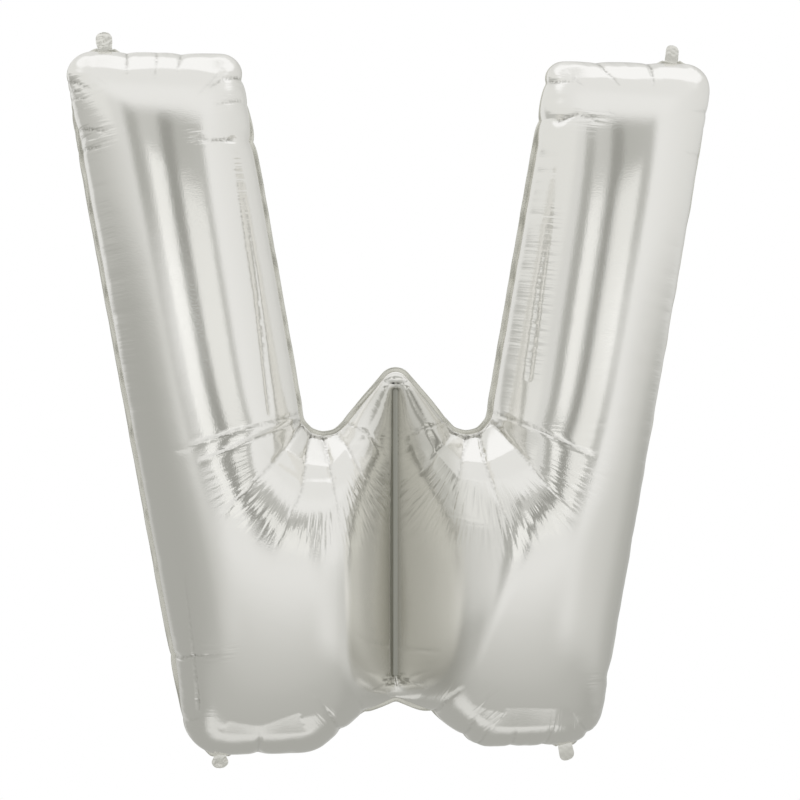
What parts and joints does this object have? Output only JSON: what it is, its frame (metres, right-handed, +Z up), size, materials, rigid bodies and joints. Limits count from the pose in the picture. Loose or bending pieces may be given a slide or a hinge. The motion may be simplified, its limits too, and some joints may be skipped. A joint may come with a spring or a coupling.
{
  "type": "letter foil balloon",
  "caption": "Inflated silver foil letter W: front and back film sealed round the edge, drawn in by a centre weld, with small folding tabs.",
  "frame": {"origin": "centre of buoyancy: on the letter's centre line, in the plane of its seam, 394 mm above the lowest seam", "axes": "+X to the letter's right as it is read, +Y away from its front, +Z up the letter"},
  "size_m": [0.8158, 0.2644, 0.9308],
  "materials": {
    "film": "bright metallised film, softly mirrored, crinkled",
    "seam": "heat-sealed metallised film, satin",
    "tab": "doubled metallised film, satin, creased"
  },
  "bodies": {
    "envelope": {"front_film": "film", "back_film": "film", "edge_seam": "seam", "centre_weld": "seam"},
    "tab_top_left": {"tab_top_left": "tab"},
    "tab_top_right": {"tab_top_right": "tab"},
    "tail_bottom_left": {"tail_bottom_left": "tab"},
    "tab_bottom_right": {"tab_bottom_right": "tab"}
  },
  "joints": [
    {"name": "fold_top_left", "type": "hinge", "parent": "envelope", "child": "tab_top_left", "pos_m": [-0.36, 0, 0.4869], "axis": [1, 0, 0], "range_deg": [-85, 85], "stiffness_Nm_per_rad": 0.0001},
    {"name": "fold_top_right", "type": "hinge", "parent": "envelope", "child": "tab_top_right", "pos_m": [0.357, 0, 0.4869], "axis": [1, 0, 0], "range_deg": [-85, 85], "stiffness_Nm_per_rad": 0.0001},
    {"name": "fold_tail", "type": "hinge", "parent": "envelope", "child": "tail_bottom_left", "pos_m": [-0.223, 0, -0.3949], "axis": [-1, 0, 0], "range_deg": [-85, 85], "stiffness_Nm_per_rad": 0.0001},
    {"name": "fold_bottom_right", "type": "hinge", "parent": "envelope", "child": "tab_bottom_right", "pos_m": [0.219, 0, -0.3949], "axis": [-1, 0, 0], "range_deg": [-85, 85], "stiffness_Nm_per_rad": 0.0001}
  ]
}
